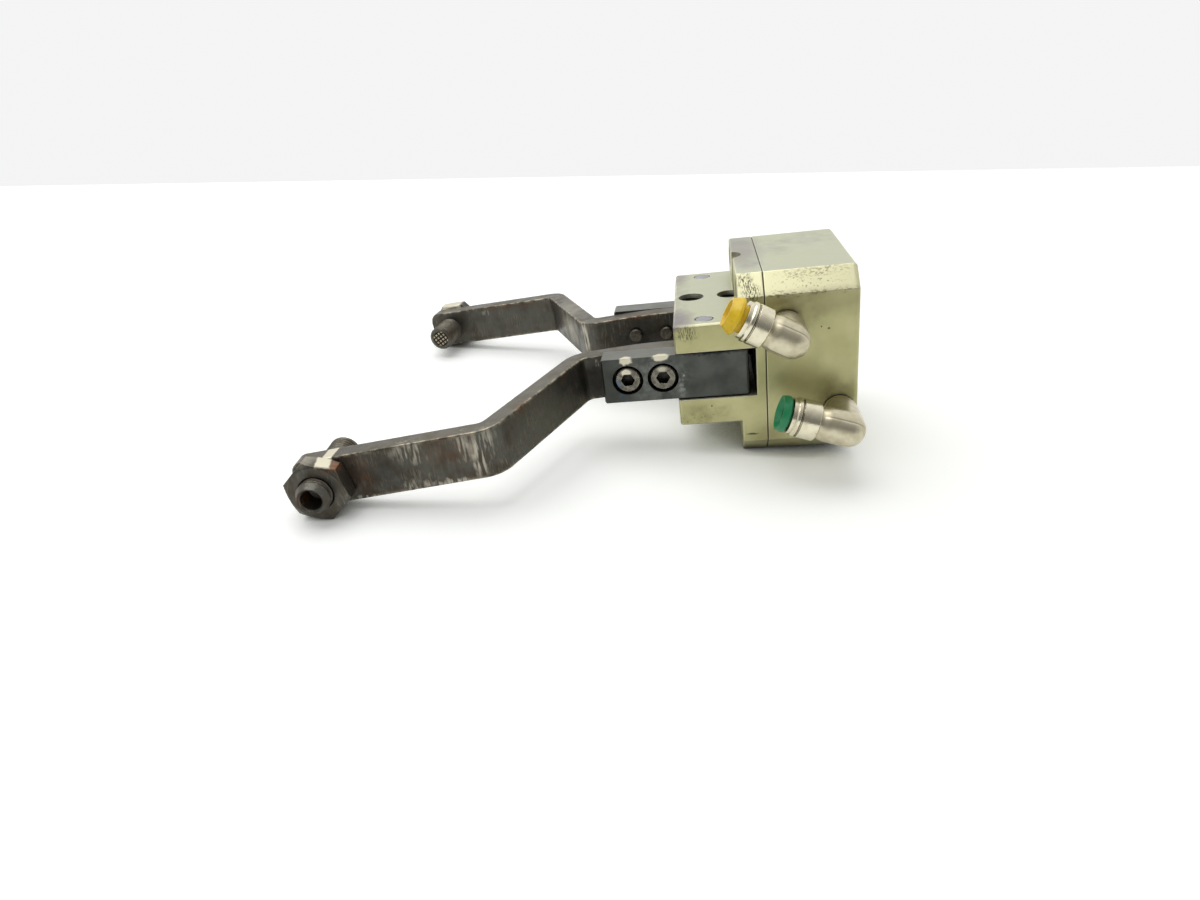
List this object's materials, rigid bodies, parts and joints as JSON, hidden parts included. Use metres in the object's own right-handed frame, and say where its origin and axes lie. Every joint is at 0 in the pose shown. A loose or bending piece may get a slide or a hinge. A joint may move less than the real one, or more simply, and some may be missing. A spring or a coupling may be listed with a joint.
{
  "type": "pneumatic angular gripper",
  "caption": "Pneumatic angular gripper: square anodised cylinder body, pivoting jaws carrying bent steel fingers with gripping bolts, and push-in air elbows on one side.",
  "frame": {"origin": "centre of the rear mounting face", "axes": "+X out of the rear face, so the fingers point along -X; +Y across the jaws, away from the air fittings; +Z along the jaw pivots"},
  "size_m": [0.1692, 0.1695, 0.06],
  "materials": {
    "anodised_aluminium": "hard anodised, pale khaki",
    "screw_steel": "oiled steel",
    "black_rubber": "matt",
    "bronze": "plain",
    "piston_aluminium": "turned",
    "machined_steel": "machined",
    "spring_steel": "drawn wire",
    "ground_steel": "ground",
    "burnished_steel": "burnished",
    "blackened_steel": "blackened, worn and rusted",
    "nickel_plated_brass": "nickel plated",
    "yellow_plastic": "moulded",
    "green_plastic": "moulded"
  },
  "bodies": {
    "housing": {"cylinder_housing": "anodised_aluminium", "jaw_housing": "anodised_aluminium", "flange_screws": "screw_steel", "seam_o_ring": "black_rubber", "rod_bush": "bronze", "rod_seal": "black_rubber", "closing_spring": "spring_steel", "pivot_pin_near": "ground_steel", "pivot_pin_far": "ground_steel", "upper_stem": "nickel_plated_brass", "upper_stem_washer": "black_rubber", "lower_stem": "nickel_plated_brass", "lower_stem_washer": "black_rubber"},
    "piston": {"piston": "piston_aluminium", "piston_seal": "black_rubber", "piston_nut": "machined_steel", "piston_rod": "machined_steel", "crosshead": "machined_steel", "drive_pins": "machined_steel"},
    "near_jaw": {"base_jaw_near": "burnished_steel", "finger_near": "blackened_steel", "finger_screws_near": "screw_steel", "grip_bolt_near": "blackened_steel", "lock_nut_near": "blackened_steel"},
    "far_jaw": {"base_jaw_far": "burnished_steel", "finger_far": "blackened_steel", "finger_screws_far": "screw_steel", "grip_bolt_far": "blackened_steel", "lock_nut_far": "blackened_steel"},
    "upper_elbow": {"upper_elbow": "nickel_plated_brass", "upper_collar": "nickel_plated_brass", "upper_tube_seal": "black_rubber"},
    "upper_ring": {"upper_release_ring": "yellow_plastic"},
    "lower_elbow": {"lower_elbow": "nickel_plated_brass", "lower_collar": "nickel_plated_brass", "lower_tube_seal": "black_rubber"},
    "lower_ring": {"lower_release_ring": "green_plastic"}
  },
  "joints": [
    {"name": "near_jaw_pivot", "type": "hinge", "parent": "housing", "child": "near_jaw", "pos_m": [-0.0463, -0.0247, 0], "axis": [0, 0, 1], "range_deg": [0, 15], "stiffness_Nm_per_rad": 2.8, "springref_deg": -5.73},
    {"name": "far_jaw_pivot", "type": "hinge", "parent": "housing", "child": "far_jaw", "pos_m": [-0.0463, 0.0247, 0], "axis": [0, 0, 1], "range_deg": [-15, 0]},
    {"name": "piston_slide", "type": "slide", "parent": "housing", "child": "piston", "axis": [-1, 0, 0], "range_m": [0, 0.0044], "deforming": ["closing_spring"]},
    {"name": "upper_elbow_swivel", "type": "hinge", "parent": "housing", "child": "upper_elbow", "pos_m": [-0.0218, -0.03, 0.0145], "axis": [0, 1, 0], "range_deg": [-55, 120]},
    {"name": "upper_ring_press", "type": "slide", "parent": "upper_elbow", "child": "upper_ring", "axis": [0.8704, 0, -0.4924], "range_m": [0, 0.0012], "stiffness_N_per_m": 500},
    {"name": "lower_elbow_swivel", "type": "hinge", "parent": "housing", "child": "lower_elbow", "pos_m": [-0.0059, -0.03, -0.0145], "axis": [0, 1, 0], "range_deg": [-45, 60]},
    {"name": "lower_ring_press", "type": "slide", "parent": "lower_elbow", "child": "lower_ring", "axis": [0.9426, 0, -0.3338], "range_m": [0, 0.0004], "stiffness_N_per_m": 500}
  ],
  "couplings": [
    {"joint": "far_jaw_pivot", "follows": "near_jaw_pivot", "ratio": -1},
    {"joint": "piston_slide", "follows": "near_jaw_pivot", "m_per_rad": 0.016796}
  ]
}
